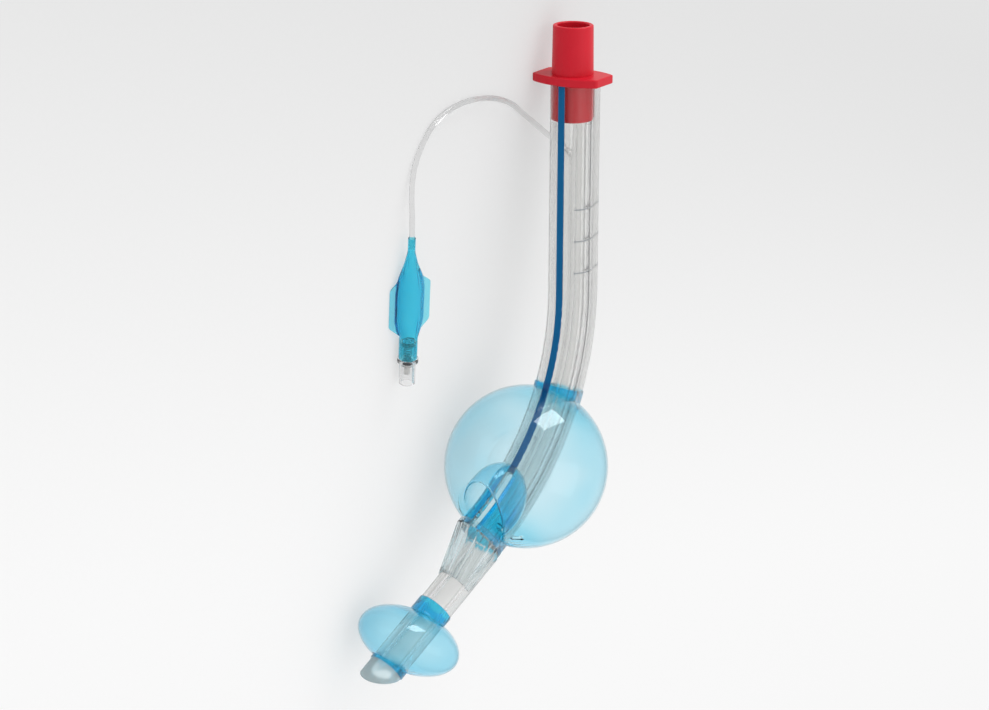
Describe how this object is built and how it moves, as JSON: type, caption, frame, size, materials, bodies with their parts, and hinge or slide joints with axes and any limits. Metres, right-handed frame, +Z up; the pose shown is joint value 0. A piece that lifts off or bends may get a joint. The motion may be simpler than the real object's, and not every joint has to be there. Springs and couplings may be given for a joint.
{
  "type": "laryngeal tube",
  "caption": "Bent double-channel airway tube with an inflated throat cuff and gullet cuff, a cone connector and a pilot balloon on a thin line.",
  "frame": {"origin": "on the floor under the middle of the tube, connector and cuffs as they lie, the line and pilot balloon left out", "axes": "+Z up from the floor, +Y towards the connector's mouth, -X towards the side the tube bends to, where the pilot balloon lies"},
  "size_m": [0.1106, 0.2444, 0.063],
  "materials": {
    "red_plastic": "gloss",
    "clear_tube": "gloss",
    "blue_stripe": "satin",
    "cuff_film": "gloss",
    "ramp_plastic": "gloss",
    "line_plastic": "gloss",
    "pilot_film": "gloss",
    "valve_plastic": "gloss",
    "white_plastic": "satin",
    "seal_rubber": "matte",
    "spring_steel": "satin"
  },
  "bodies": {
    "tube": {"connector": "red_plastic", "airway_tube": "clear_tube", "contrast_stripe": "blue_stripe", "pharyngeal_cuff": "cuff_film", "oesophageal_cuff": "cuff_film", "ventilation_ramp": "ramp_plastic", "inflation_line": "line_plastic", "pilot_balloon": "pilot_film", "valve_body": "valve_plastic", "valve_spring": "spring_steel", "valve_cage": "white_plastic"},
    "valve_plunger": {"valve_stem": "white_plastic", "valve_seal": "seal_rubber"}
  },
  "joints": [
    {"name": "valve_stem_press", "type": "slide", "parent": "tube", "child": "valve_plunger", "axis": [-0.1908, 0.9816, 0], "range_m": [0, 0.0015], "stiffness_N_per_m": 2000, "deforming": ["valve_spring"]}
  ]
}
